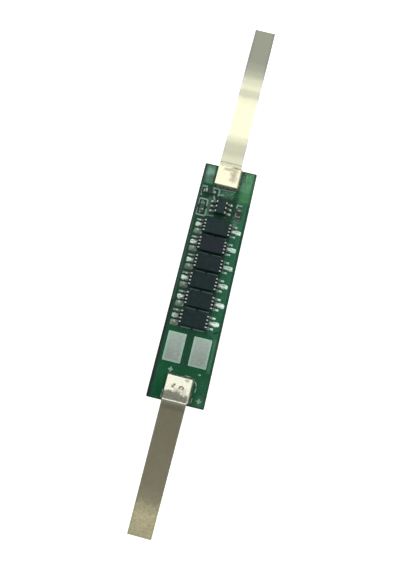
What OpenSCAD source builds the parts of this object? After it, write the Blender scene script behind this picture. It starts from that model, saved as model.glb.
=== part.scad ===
// Protection board for one lithium cell, with a welded nickel strip at each end.
// Millimetres. The origin is the centre of the board's underside, +Z is the component
// side, and +Y runs towards the strip of the cell's negative end.

/* [Board] */
// Length of the circuit board
board_l = 45.2; // [40:0.2:50]
// Width of the circuit board
board_w = 10.2; // [10:0.1:14]
// Thickness of the circuit board
board_t = 1; // [0.6:0.1:1.6]
// Radius of the board's corners
board_corner_r = 0.25; // [0.1:0.05:0.5]
// Thickness of the tinned copper under every soldered part
land_t = 0.05; // [0.03:0.01:0.1]

/* [Weld blocks and nickel strips] */
// Width of each weld block
block_w = 4.25; // [3.6:0.05:4.6]
// Length of each weld block
block_l = 4.15; // [3.6:0.05:4.3]
// Height of each weld block above its land
block_h = 0.85; // [0.3:0.05:1.5]
// Radius of the weld block's upright corners
block_corner_r = 0.3; // [0.1:0.05:0.6]
// Bevel round the weld block's top
block_bevel = 0.1; // [0.05:0.05:0.2]
// Distance of the minus block from the end of the board
minus_block_inset = 0.05; // [0:0.05:0.4]
// Distance of the plus block from the end of the board
plus_block_inset = 0.3; // [0:0.05:0.4]
// Sideways offset of the minus block from the board's centre line
minus_block_x = -0.1; // [-0.3:0.05:0.3]
// Sideways offset of the plus block from the board's centre line
plus_block_x = 0.05; // [-0.3:0.05:0.3]
// How far the solder land shows round a weld block, beside it and inside it
block_land_rim = 0.35; // [0.1:0.05:0.5]
// Height of the solder fillet against a weld block
block_fillet_h = 0.3; // [0.1:0.05:0.6]
// Width of both nickel strips
strip_w = 4.3; // [3:0.1:5]
// Thickness of both nickel strips
strip_t = 0.15; // [0.1:0.01:0.3]
// Radius on the strip's centre line wherever it is bent
strip_bend_r = 3; // [1:0.1:6]
// Length of the plus strip beyond its block
plus_strip_l = 24; // [22:0.5:60]
// Angle by which the plus strip slopes down from its block
plus_strip_slope = 17; // [4:1:40]
// Distance from the plus block to the crease across its strip
plus_crease_at = 19.5; // [4:0.5:20]
// Angle by which the crease turns the plus strip back up
plus_crease_turn = 3; // [1:0.5:12]
// Sideways offset of the plus strip from the board's centre line
plus_strip_x = -0.12; // [-0.3:0.02:0.3]
// Angle in plan between the plus strip and the board
plus_strip_yaw = -1.1; // [-3:0.1:3]
// Length of the minus strip beyond its block
minus_strip_l = 34.5; // [22:0.5:60]
// Distance from the minus block to the soft bend of its strip
minus_bend_at = 5.5; // [2:0.5:10]
// Distance from the minus block to the crease across its strip
minus_crease_at = 14.5; // [12:0.5:18]
// Angle by which the minus strip slopes down from its block
minus_strip_slope = 4; // [1:0.5:8]
// Angle by which the soft bend turns the minus strip further down
minus_bend_turn = 6; // [1:0.5:12]
// Angle by which the crease turns the minus strip back up
minus_crease_turn = 7; // [1:0.5:12]
// Sideways offset of the minus strip from the board's centre line
minus_strip_x = -0.3; // [-0.3:0.02:0.3]
// Angle in plan between the minus strip and the board
minus_strip_yaw = 0.7; // [-3:0.1:3]
// Distance between the two weld pits on each strip
weld_pitch = 1.4; // [1:0.1:2.4]
// Radius of a weld pit at the strip's surface
weld_pit_r = 0.28; // [0.15:0.01:0.4]
// Depth of a weld pit
weld_pit_depth = 0.06; // [0.03:0.01:0.08]

/* [Output pads] */
// Width of each output pad
output_pad_w = 3.25; // [2:0.05:3.6]
// Length of each output pad
output_pad_l = 5.25; // [3:0.05:5.4]
// Gap between the two output pads
output_pad_gap = 1.4; // [0.6:0.1:1.8]
// Thickness of the tinned output pads
output_pad_t = 0.06; // [0.03:0.01:0.2]
// Distance of the pads' centre from the plus end of the board
output_pad_from_end = 9.3; // [8.8:0.1:9.4]
// Sideways offset of the pair of pads from the board's centre line
output_pad_x = -0.05; // [-0.3:0.05:0.3]

/* [Transistors] */
// Width of a transistor body, between its rows of leads
fet_body_w = 4.4; // [4:0.1:4.6]
// Length of a transistor body along the board
fet_body_l = 3; // [2.8:0.1:3.1]
// Height of a transistor body
fet_body_h = 1; // [0.7:0.05:1.2]
// Gap between two transistor bodies in the row
fet_gap = 0.545; // [0.5:0.005:0.6]
// Distance between lead tips across a transistor
fet_span = 6.4; // [6:0.1:6.6]
// Pitch of the transistor's leads
fet_lead_pitch = 0.65; // [0.6:0.01:0.7]
// Width of a transistor lead
fet_lead_w = 0.25; // [0.18:0.01:0.3]
// Clearance kept between the protection chip and the row of transistors
row_chip_gap = 0.6; // [0.4:0.05:1]
// Clearance kept between the row of transistors and the output pads
row_pad_gap = 0.765; // [0.5:0.005:1]
// Sideways offset of the row from the board's centre line
fet_x = -0.12; // [-0.3:0.02:0.3]
// Sideways distance by which every second transistor was placed off the row
fet_drift = 0.08; // [0:0.01:0.15]

/* [Protection chip] */
// Width of the protection chip's body, between its rows of leads
chip_body_w = 1.6; // [1.4:0.1:1.8]
// Length of the protection chip's body along the board
chip_body_l = 2.9; // [2.7:0.1:3.1]
// Height of the protection chip's body
chip_body_h = 1.1; // [0.8:0.05:1.3]
// Distance between lead tips across the protection chip
chip_span = 2.8; // [2.6:0.1:3]
// Pitch of the protection chip's leads
chip_lead_pitch = 0.95; // [0.9:0.01:1]
// Width of a lead of the protection chip
chip_lead_w = 0.4; // [0.3:0.01:0.45]
// Distance of the protection chip from the minus end of the board
chip_from_end = 8.5; // [8.3:0.05:8.6]
// Sideways offset of the protection chip from the board's centre line
chip_x = -0.2; // [-0.3:0.05:0.3]

/* [Leads of all packages] */
// Thickness of a lead
lead_t = 0.13; // [0.1:0.01:0.2]
// Bend radius on a lead's centre line
lead_bend_r = 0.14; // [0.11:0.01:0.16]
// Length of the foot of a transistor's lead
fet_foot_l = 0.5; // [0.45:0.01:0.55]
// Length of the foot of a lead of the protection chip
chip_foot_l = 0.32; // [0.3:0.01:0.34]
// Gap between the underside of a package and the lands
standoff = 0.1; // [0.05:0.01:0.15]
// Slope of the moulded sides of a package
draft_angle = 9; // [5:1:12]
// Radius of the dimple that marks the first lead
dimple_r = 0.2; // [0.1:0.05:0.3]
// Depth of the dimple that marks the first lead
dimple_depth = 0.05; // [0.02:0.01:0.08]

/* [Resistors and capacitor] */
// Length of a resistor or the capacitor
passive_l = 1.6; // [1.4:0.05:1.8]
// Width of a resistor or the capacitor
passive_w = 0.8; // [0.7:0.05:0.9]
// Height of a resistor
resistor_h = 0.45; // [0.35:0.01:0.6]
// Height of the capacitor
capacitor_h = 0.7; // [0.5:0.05:0.85]
// Length of the metal caps on their ends
cap_l = 0.3; // [0.2:0.01:0.4]
// Thickness of the metal caps
cap_t = 0.03; // [0.02:0.01:0.05]
// Distance of the supply resistor from the minus end of the board
supply_resistor_from_end = 5.65; // [5.2:0.05:6]
// Distance of the supply resistor to the left of the board's centre line
supply_resistor_left = 2.97; // [2.8:0.01:3.2]
// Distance of the supply capacitor from the minus end of the board
supply_capacitor_from_end = 9.15; // [8.6:0.05:9.2]
// Distance of the supply capacitor to the left of the board's centre line
supply_capacitor_left = 3.72; // [3.5:0.01:4]
// Distance of the sense resistor from the minus end of the board
sense_resistor_from_end = 9; // [8:0.05:9.1]
// Distance of the sense resistor to the right of the board's centre line
sense_resistor_right = 3.33; // [3:0.01:4]

/* [Solder] */
// Height of the large solder heaps beside the transistors
heap_h = 0.34; // [0.2:0.01:0.45]
// Length of the heap that joins the two source leads on the left
heap_left_l = 1.45; // [1.2:0.05:1.6]
// Length of the heap that joins the two source leads on the right
heap_right_l = 1.95; // [1.4:0.05:2]
// Width of the large heaps
heap_w = 1.05; // [0.95:0.01:1.15]
// Height of the small solder beads at single leads
bead_h = 0.16; // [0.08:0.01:0.25]
// Height of the solder beads at the leads of the protection chip
chip_bead_h = 0.24; // [0.1:0.01:0.3]
// Length of the solder beads at single leads
bead_l = 1.05; // [0.8:0.05:1.2]
// Length of the solder beads at the single leads on the left of a transistor
bead_left_l = 1.35; // [0.8:0.05:1.5]
// How much wider a land is than its lead
land_margin = 0.16; // [0.05:0.01:0.2]
// Width of the land of the gate lead on the left
gate_land_w = 0.95; // [0.5:0.05:1]
// How far a land reaches past the foot of its lead towards the package
land_heel = 0.12; // [0.05:0.01:0.15]
// Length of the land at each end of a resistor or the capacitor
passive_land_l = 0.75; // [0.6:0.05:0.9]
// How far that land reaches in under the part
passive_land_under = 0.32; // [0.2:0.01:0.35]

/* [Hidden] */
$fn = 32;
ARC_STEPS = 3;
FET_SIDE_LEADS = 4;
CHIP_SIDE_LEADS = 3;
// Share of a lead's free width at which its shoulder turns down
SHOULDER_SHARE = 0.55;
// How much wider the ball that shapes a heap is than the heap
HEAP_SPREAD = 1.12;
// Share of an end cap's height that its solder climbs
CAP_CLIMB = 0.6;
// Share of a land's width that rounds its corners
LAND_ROUNDING = 0.2;
EPS = 0.01;

board_top = board_t;
land_top = board_top + land_t;
plus_end = -board_l / 2;
minus_end = board_l / 2;

block_top = land_top + block_h;
strip_mid_z = block_top + strip_t / 2;
minus_block_y = minus_end - minus_block_inset - block_l / 2;
plus_block_y = plus_end + plus_block_inset + block_l / 2;

output_pad_y = plus_end + output_pad_from_end;
output_pad_offset = (output_pad_gap + output_pad_w) / 2;

chip_place = [chip_x, minus_end - chip_from_end, 0];
supply_resistor_place = [-supply_resistor_left, minus_end - supply_resistor_from_end, 0];
supply_capacitor_place = [-supply_capacitor_left, minus_end - supply_capacitor_from_end, 0];
sense_resistor_place = [sense_resistor_right, minus_end - sense_resistor_from_end, 0];

// The row holds as many transistors as fit between the protection chip and the output pads
fet_pitch = fet_body_l + fet_gap;
row_high = chip_place.y - chip_body_l / 2 - row_chip_gap;
row_low = output_pad_y + output_pad_l / 2 + row_pad_gap;
fet_count = floor((row_high - row_low + fet_gap) / fet_pitch);
function fet_place(k) = [fet_x + (k % 2 == 0 ? fet_drift : -fet_drift),
    (row_high + row_low) / 2 + ((fet_count - 1) / 2 - k) * fet_pitch, 0];

// ---- Outlines ----

// Unit vector from a to b
function heading(a, b) = (b - a) / norm(b - a);
// The same vector turned a quarter turn to the left
function left_of(d) = [-d.y, d.x];
// Vector v turned by an angle
function turned(v, angle) = [v.x * cos(angle) - v.y * sin(angle), v.x * sin(angle) + v.y * cos(angle)];

// Points of the arc that rounds corner b between a and c
function corner_arc(a, b, c, r) =
    let (d1 = heading(a, b),
         d2 = heading(b, c),
         side = sign(d1.x * d2.y - d1.y * d2.x),
         turn = acos(d1 * d2),
         centre = b - d1 * r * tan(turn / 2) + left_of(d1) * side * r)
    [for (s = [0:ARC_STEPS]) centre - turned(left_of(d1) * side * r, side * turn * s / ARC_STEPS)];

// A path through corner points with every inner corner rounded
function rounded_path(corners, r) = concat(
    [corners[0]],
    [for (i = [1:len(corners) - 2]) each corner_arc(corners[i - 1], corners[i], corners[i + 1], r)],
    [corners[len(corners) - 1]]);

// Sideways vector at point i of a path, longer at a corner so that a ribbon keeps its thickness
function sideways(path, i) =
    let (last = len(path) - 1,
         before = i == 0 ? heading(path[0], path[1]) : heading(path[i - 1], path[i]),
         after = i == last ? before : heading(path[i], path[i + 1]))
    (left_of(before) + left_of(after)) / (1 + left_of(before) * left_of(after));

// Outline of a ribbon of thickness t with the path as its centre line
function ribbon(path, t) = concat(
    [for (i = [0:len(path) - 1]) path[i] + sideways(path, i) * t / 2],
    [for (i = [len(path) - 1:-1:0]) path[i] - sideways(path, i) * t / 2]);

// A plate with rounded upright corners, centred in plan, standing on z = 0
module rounded_plate(w, l, h, r) {
    linear_extrude(h) union() {
        square([w - 2 * r, l], center = true);
        square([w, l - 2 * r], center = true);
        for (x = [-1, 1], y = [-1, 1])
            translate([x * (w / 2 - r), y * (l / 2 - r)]) circle(r);
    }
}

// A prism along Y from an outline in X and Z, centred on y = 0
module prism_y(outline, l) {
    translate([0, l / 2, 0]) rotate([90, 0, 0]) linear_extrude(l) polygon(outline);
}

// A prism along X from an outline in Y and Z, centred on x = 0
module prism_x(outline, w) {
    translate([-w / 2, 0, 0]) rotate([90, 0, 90]) linear_extrude(w) polygon(outline);
}

// A block whose sides slope in above and below an upright band
module drafted_block(w, l, h, band_z, band_t, angle) {
    upper = (h - band_z - band_t / 2) * tan(angle);
    lower = (band_z - band_t / 2) * tan(angle);
    function side(half) = [
        [half - lower, 0], [half, band_z - band_t / 2], [half, band_z + band_t / 2], [half - upper, h],
        [upper - half, h], [-half, band_z + band_t / 2], [-half, band_z - band_t / 2], [lower - half, 0]];
    intersection() {
        prism_y(side(w / 2), l);
        prism_x(side(l / 2), w);
    }
}

// ---- Board ----

module circuit_board() {
    color("#1d5a3a") rounded_plate(board_w, board_l, board_t, board_corner_r);
}

module output_pad(side) {
    color("#9fb0a2") translate([output_pad_x + side * output_pad_offset, output_pad_y, board_top])
        rounded_plate(output_pad_w, output_pad_l, output_pad_t, output_pad_t * 2);
}

// ---- Weld blocks and strips ----

// One weld block about its own centre in plan
module weld_block_shape() {
    bevelled = [for (half = [block_w / 2, block_l / 2]) [
        [-half, 0], [half, 0], [half, block_h - block_bevel], [half - block_bevel, block_h],
        [block_bevel - half, block_h], [-half, block_h - block_bevel]]];
    intersection() {
        rounded_plate(block_w, block_l, block_h, block_corner_r);
        prism_y(bevelled[0], block_l);
        prism_x(bevelled[1], block_w);
    }
}

// The land and the fillet round one block; inward is the direction away from the board's end
module weld_solder_shape(inward) {
    land_w = block_w + 2 * block_land_rim;
    land_l = block_l + block_land_rim;
    slope_w = [[-land_w / 2, 0], [land_w / 2, 0], [block_w / 2, block_fillet_h], [-block_w / 2, block_fillet_h]];
    slope_l = [[-land_l / 2, 0], [land_l / 2, 0],
               [inward > 0 ? land_l / 2 - block_land_rim : land_l / 2, block_fillet_h],
               [inward > 0 ? -land_l / 2 : block_land_rim - land_l / 2, block_fillet_h]];
    translate([0, inward * block_land_rim / 2, 0]) difference() {
        union() {
            rounded_plate(land_w, land_l, land_t, block_corner_r);
            intersection() {
                rounded_plate(land_w, land_l, block_fillet_h, block_corner_r);
                prism_y(slope_w, land_l);
                prism_x(slope_l, land_w);
            }
        }
        translate([0, -inward * block_land_rim / 2, land_t])
            rounded_plate(block_w, block_l, block_h, block_corner_r);
    }
}

module weld_block_plus() {
    color("#c9c6b4") translate([plus_block_x, plus_block_y, land_top]) weld_block_shape();
}

module weld_block_minus() {
    color("#c9c6b4") translate([minus_block_x, minus_block_y, land_top]) weld_block_shape();
}

module weld_solder_plus() {
    color("#a9aca0") translate([plus_block_x, plus_block_y, board_top])
        weld_solder_shape(1);
}

module weld_solder_minus() {
    color("#a9aca0") translate([minus_block_x, minus_block_y, board_top])
        weld_solder_shape(-1);
}

// Point at a distance and downward angle from another point of a strip's path
function along(from, distance, slope) = from + distance * [cos(slope), -sin(slope)];

// Corners of a strip's path, seen from its block's centre with +Y running outwards. The first
// bend starts at the block's edge. Each leg is a distance and a downward angle.
function strip_corners(legs) =
    let (start = [block_l / 2 + strip_bend_r * tan(legs[0][1] / 2), strip_mid_z])
    [[-block_l / 2, strip_mid_z],
     for (i = 0, corner = start; i <= len(legs);
          corner = i < len(legs) ? along(corner, legs[i][0], legs[i][1]) : corner, i = i + 1) corner];

// A strip welded over a block and running out along +Y
module nickel_strip_shape(legs) {
    pit_ball_r = (pow(weld_pit_r, 2) + pow(weld_pit_depth, 2)) / (2 * weld_pit_depth);
    difference() {
        prism_x(ribbon(rounded_path(strip_corners(legs), strip_bend_r), strip_t), strip_w);
        for (side = [-1, 1])
            translate([side * weld_pitch / 2, 0, block_top + strip_t - weld_pit_depth + pit_ball_r])
                sphere(pit_ball_r);
    }
}

module nickel_strip_plus() {
    color("#8b8674") translate([plus_strip_x, plus_block_y, 0]) rotate([0, 0, 180 + plus_strip_yaw])
        nickel_strip_shape([
            [plus_crease_at, plus_strip_slope],
            [plus_strip_l - plus_crease_at, plus_strip_slope - plus_crease_turn]]);
}

module nickel_strip_minus() {
    steep = minus_strip_slope + minus_bend_turn;
    color("#d8d5c2") translate([minus_strip_x, minus_block_y, 0]) rotate([0, 0, -minus_strip_yaw])
        nickel_strip_shape([
            [minus_bend_at, minus_strip_slope],
            [minus_crease_at - minus_bend_at, steep],
            [minus_strip_l - minus_crease_at, steep - minus_crease_turn]]);
}

// ---- Leads and packages ----

// Height of the leads where they leave a body, above the land
function exit_height(body_h) = standoff + body_h / 2;

// One gull-wing lead that leaves a body at +X and stands on z = 0
module lead(body_w, body_h, span, foot_l, lead_w) {
    top = exit_height(body_h);
    foot = lead_t / 2;
    knee_x = span / 2 - foot_l;
    shoulder_x = body_w / 2 + (knee_x - body_w / 2) * SHOULDER_SHARE;
    prism_y(ribbon(rounded_path(
        [[body_w / 2, top], [shoulder_x, top], [knee_x, foot], [span / 2, foot]], lead_bend_r), lead_t), lead_w);
}

// All leads of a package, standing on z = 0
module lead_rows(side_leads, pitch, body_w, body_h, span, foot_l, lead_w) {
    for (side = [0, 180], i = [0:side_leads - 1])
        rotate([0, 0, side]) translate([0, (i - (side_leads - 1) / 2) * pitch, 0])
            lead(body_w, body_h, span, foot_l, lead_w);
}

// A moulded package body, its underside at the standoff above z = 0
module package_body(body_w, body_l, body_h) {
    mark = body_h / 2 * tan(draft_angle) + dimple_r * 2;
    translate([0, 0, standoff]) difference() {
        drafted_block(body_w, body_l, body_h, body_h / 2, lead_t, draft_angle);
        translate([mark - body_w / 2, body_l / 2 - mark, body_h - dimple_depth])
            cylinder(h = dimple_depth + EPS, r = dimple_r);
    }
}

// ---- Solder ----

// A heap of solder on a land: a rounded bar of width w, cut off square at the land's outline.
// It stands on z = 0 and its centre is at the origin.
module solder_heap(l, w, h) {
    half = w / 2 * HEAP_SPREAD;
    ball_r = (half * half + h * h) / (2 * h);
    reach = max(l / 2 - half, 0);
    intersection() {
        rounded_plate(l, w, h, min(l, w) * LAND_ROUNDING);
        translate([0, 0, h - ball_r]) union() {
            for (side = [-1, 1]) translate([side * reach, 0, 0]) sphere(ball_r);
            if (reach > 0) translate([-reach, 0, 0]) rotate([0, 90, 0]) cylinder(h = 2 * reach, r = ball_r);
        }
    }
}

// A land with a heap that starts under the foot of a lead and ends beyond its tip, towards +X
module footed_solder(span, foot_l, l, w, h) {
    heel_x = span / 2 - foot_l - land_heel;
    toe_l = l + land_heel;
    translate([heel_x + toe_l / 2, 0, 0]) {
        rounded_plate(toe_l, w, land_t, w * LAND_ROUNDING);
        translate([(toe_l - l) / 2, 0, 0]) solder_heap(l, w, h);
    }
}

// Place along a package of lead i of a side, counted from its +Y end
function pin_y(i, pitch, side_leads) = ((side_leads - 1) / 2 - i) * pitch;

module fet_leads_shape() {
    translate([0, 0, land_t])
        lead_rows(FET_SIDE_LEADS, fet_lead_pitch, fet_body_w, fet_body_h, fet_span,
            fet_foot_l, fet_lead_w);
}

// Beads at the four outer leads, with the wider gate land at the lower left
module fet_bead_shape() {
    bead_w = fet_lead_w + land_margin;
    for (end = [0, FET_SIDE_LEADS - 1])
        translate([0, pin_y(end, fet_lead_pitch, FET_SIDE_LEADS), 0])
            footed_solder(fet_span, fet_foot_l, bead_l, bead_w, bead_h);
    translate([0, pin_y(0, fet_lead_pitch, FET_SIDE_LEADS), 0]) mirror([1, 0, 0])
        footed_solder(fet_span, fet_foot_l, bead_left_l, bead_w, bead_h);
    translate([0, pin_y(FET_SIDE_LEADS - 1, fet_lead_pitch, FET_SIDE_LEADS) - (gate_land_w - bead_w) / 2, 0])
        mirror([1, 0, 0]) footed_solder(fet_span, fet_foot_l, bead_left_l, gate_land_w, bead_h);
}

module transistor_body(k) {
    color("#23262a") translate(fet_place(k) + [0, 0, land_top]) package_body(fet_body_w, fet_body_l, fet_body_h);
}

module transistor_leads(k) {
    color("#b4b6b0") translate(fet_place(k) + [0, 0, board_top]) fet_leads_shape();
}

module transistor_solder(k) {
    color("#8fa596") translate(fet_place(k) + [0, 0, board_top]) difference() {
        fet_bead_shape();
        fet_leads_shape();
    }
}

module source_solder(k, mirrored, l) {
    color("#cdd8cf") translate(fet_place(k) + [0, 0, board_top]) difference() {
        mirror([mirrored, 0, 0]) footed_solder(fet_span, fet_foot_l, l, heap_w, heap_h);
        fet_leads_shape();
    }
}

// ---- Protection chip ----

module chip_leads_shape() {
    translate([0, 0, land_t])
        lead_rows(CHIP_SIDE_LEADS, chip_lead_pitch, chip_body_w, chip_body_h, chip_span,
            chip_foot_l, chip_lead_w);
}

module protection_chip_body() {
    color("#25272a") translate(chip_place + [0, 0, land_top]) package_body(chip_body_w, chip_body_l, chip_body_h);
}

module protection_chip_leads() {
    color("#b4b6b0") translate(chip_place + [0, 0, board_top]) chip_leads_shape();
}

module protection_chip_solder() {
    color("#8fa596") translate(chip_place + [0, 0, board_top]) difference() {
        for (side = [0, 1], i = [0:CHIP_SIDE_LEADS - 1])
            mirror([side, 0, 0]) translate([0, pin_y(i, chip_lead_pitch, CHIP_SIDE_LEADS), 0])
                footed_solder(chip_span, chip_foot_l, bead_l, chip_lead_w + land_margin, chip_bead_h);
        chip_leads_shape();
    }
}

// ---- Resistors and capacitor ----

// The ceramic inside the end caps, lying along X above z = 0
module passive_core(h) {
    translate([0, 0, h / 2]) cube([passive_l - 2 * cap_t, passive_w, h - 2 * cap_t], center = true);
}

// The two C-shaped end caps
module passive_caps(h) {
    for (side = [-1, 1]) difference() {
        translate([side * (passive_l - cap_l) / 2, 0, h / 2]) cube([cap_l, passive_w, h], center = true);
        passive_core(h);
    }
}

// The dark coat on top of a resistor, between its caps
module resistor_coat_shape() {
    coat_l = passive_l - 2 * cap_l;
    translate([0, 0, resistor_h - cap_t / 2]) cube([coat_l, passive_w - 2 * cap_t, cap_t], center = true);
}

// The lands and fillets under both end caps
module passive_solder_shape(h) {
    land_w = passive_w + land_margin / 2;
    heap_l = passive_land_l - cap_l / 2;
    difference() {
        for (side = [0, 180]) rotate([0, 0, side])
            translate([passive_l / 2 - passive_land_under + passive_land_l / 2, 0, 0]) {
                rounded_plate(passive_land_l, land_w, land_t, land_w * LAND_ROUNDING);
                translate([(passive_land_l - heap_l) / 2, 0, 0]) solder_heap(heap_l, land_w, h * CAP_CLIMB);
            }
        translate([0, 0, land_t + h / 2]) cube([passive_l, passive_w, h], center = true);
    }
}

// Turns a part that lies along X to its place on the board
module at(place, angle, z) {
    translate(place + [0, 0, z]) rotate([0, 0, angle]) children();
}

module resistor_body(place, angle) {
    color("#e4e4dc") at(place, angle, land_top) passive_core(resistor_h);
}

module resistor_coat(place, angle) {
    color("#1c1f1f") at(place, angle, land_top) resistor_coat_shape();
}

module resistor_caps(place, angle) {
    color("#c4ccc4") at(place, angle, land_top) passive_caps(resistor_h);
}

module resistor_solder(place, angle) {
    color("#9db0a3") at(place, angle, board_top) passive_solder_shape(resistor_h);
}

module supply_capacitor_body() {
    color("#8a7a5e") at(supply_capacitor_place, 90, land_top) passive_core(capacitor_h);
}

module supply_capacitor_caps() {
    color("#c4ccc4") at(supply_capacitor_place, 90, land_top) passive_caps(capacitor_h);
}

module supply_capacitor_solder() {
    color("#9db0a3") at(supply_capacitor_place, 90, board_top) passive_solder_shape(capacitor_h);
}

// ---- Nodes ----

circuit_board();
output_pad(-1);  // output_pad_plus
output_pad(1);  // output_pad_minus
weld_solder_plus();
weld_solder_minus();
weld_block_plus();
weld_block_minus();
nickel_strip_plus();
nickel_strip_minus();
protection_chip_body();
protection_chip_leads();
protection_chip_solder();
resistor_body(supply_resistor_place, 0);  // supply_resistor_body
resistor_coat(supply_resistor_place, 0);  // supply_resistor_coat
resistor_caps(supply_resistor_place, 0);  // supply_resistor_caps
resistor_solder(supply_resistor_place, 0);  // supply_resistor_solder
resistor_body(sense_resistor_place, 90);  // sense_resistor_body
resistor_coat(sense_resistor_place, 90);  // sense_resistor_coat
resistor_caps(sense_resistor_place, 90);  // sense_resistor_caps
resistor_solder(sense_resistor_place, 90);  // sense_resistor_solder
supply_capacitor_body();
supply_capacitor_caps();
supply_capacitor_solder();
for (k = [0:fet_count - 1]) {
    transistor_body(k);
    transistor_leads(k);
    transistor_solder(k);
    source_solder(k, 1, heap_left_l);
    source_solder(k, 0, heap_right_l);
}
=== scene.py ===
"""Looks of a battery management board: finishes, printed lines, solder and the studio stage.

The board's frame is in metres, +Z out of the component side and +Y towards the minus strip. Shapes are
worked out in millimetres and scaled once, when a piece is made.
"""

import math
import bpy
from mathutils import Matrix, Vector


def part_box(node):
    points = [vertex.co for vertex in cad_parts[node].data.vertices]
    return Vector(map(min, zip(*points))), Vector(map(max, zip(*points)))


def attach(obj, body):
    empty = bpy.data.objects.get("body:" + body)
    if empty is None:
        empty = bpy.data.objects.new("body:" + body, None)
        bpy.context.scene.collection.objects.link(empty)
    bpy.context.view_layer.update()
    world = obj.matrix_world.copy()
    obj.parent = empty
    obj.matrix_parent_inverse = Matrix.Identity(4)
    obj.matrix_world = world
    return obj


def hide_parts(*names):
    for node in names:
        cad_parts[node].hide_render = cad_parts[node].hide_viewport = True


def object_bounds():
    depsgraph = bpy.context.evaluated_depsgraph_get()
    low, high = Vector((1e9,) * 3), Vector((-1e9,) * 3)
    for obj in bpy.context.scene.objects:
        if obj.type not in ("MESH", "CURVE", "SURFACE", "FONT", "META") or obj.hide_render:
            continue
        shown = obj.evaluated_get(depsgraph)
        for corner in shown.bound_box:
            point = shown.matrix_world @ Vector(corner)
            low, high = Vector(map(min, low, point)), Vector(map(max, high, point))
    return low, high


bl_info = {
    "name": "Battery management board",
    "version": (1, 0, 0),
    "blender": (4, 5, 0),
    "location": "View3D > Sidebar > Board",
    "description": "Finishes, print, solder and stage of a battery management board",
    "category": "Object",
}

import bmesh
import bpy
from bpy.props import FloatProperty, FloatVectorProperty, PointerProperty
from bpy.types import Operator, Panel, PropertyGroup
from mathutils import Vector, noise

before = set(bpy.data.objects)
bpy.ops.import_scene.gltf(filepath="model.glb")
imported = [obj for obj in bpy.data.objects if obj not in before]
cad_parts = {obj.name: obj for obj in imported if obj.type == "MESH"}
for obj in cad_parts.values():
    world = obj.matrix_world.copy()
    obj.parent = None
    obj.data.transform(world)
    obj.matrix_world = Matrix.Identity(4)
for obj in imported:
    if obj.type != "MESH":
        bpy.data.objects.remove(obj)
CAD_BOUNDS = [list(corner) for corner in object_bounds()]

MM = 0.001
TRANSISTORS = sum(name.startswith("transistor_") and name.endswith("_body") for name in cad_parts)


def box_mm(node):
    """Lowest and highest corner of a CAD node in millimetres."""
    low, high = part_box(node)
    return Vector(low) / MM, Vector(high) / MM


def middle(node):
    """Centre of a CAD node's box in millimetres."""
    low, high = box_mm(node)
    return (low + high) / 2


HALF_W, HALF_L, TOP = box_mm("circuit_board")[1]
SUNK = 0.01  # depth below the board's face from which relief and traces rise


# ---- Shader maths ----

class Channel:
    """A number socket that takes part in Python arithmetic."""

    def __init__(self, sheet, socket):
        self.sheet = sheet
        self.socket = socket

    def do(self, operation, *others, clamp=False):
        """One Math node with this number first."""
        return self.sheet.math(operation, self, *others, clamp=clamp)

    def __add__(self, other):
        return self.do("ADD", other)

    __radd__ = __add__

    def __sub__(self, other):
        return self.do("SUBTRACT", other)

    def __rsub__(self, other):
        return self.sheet.math("SUBTRACT", other, self)

    def __mul__(self, other):
        return self.do("MULTIPLY", other)

    __rmul__ = __mul__

    def __truediv__(self, other):
        return self.do("DIVIDE", other)

    def __abs__(self):
        return self.do("ABSOLUTE")

    def sine(self):
        return self.do("SINE")

    def wrapped(self, pitch):
        """The same number brought to within half a pitch of 0."""
        return self.do("WRAP", pitch / 2, -pitch / 2)

    def clamped(self):
        """The same number held between 0 and 1."""
        return self.do("ADD", 0.0, clamp=True)

    def rise(self, low, high):
        """0 below low, 1 above high, smooth between."""
        return self.sheet.number("ShaderNodeMapRange", {"interpolation_type": "SMOOTHSTEP"},
                                 {"Value": self, "From Min": low, "From Max": high})

    def fall(self, low, high):
        """1 below low, 0 above high, smooth between."""
        return 1.0 - self.rise(low, high)

    def size_within(self, reach):
        """1 near 0, falling to 0 at reach on both sides."""
        return abs(self).fall(reach * 0.5, reach)

    def inside(self, low, high, soft):
        """1 between low and high, with soft edges."""
        return self.rise(low - soft, low + soft) * self.fall(high - soft, high + soft)


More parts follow.
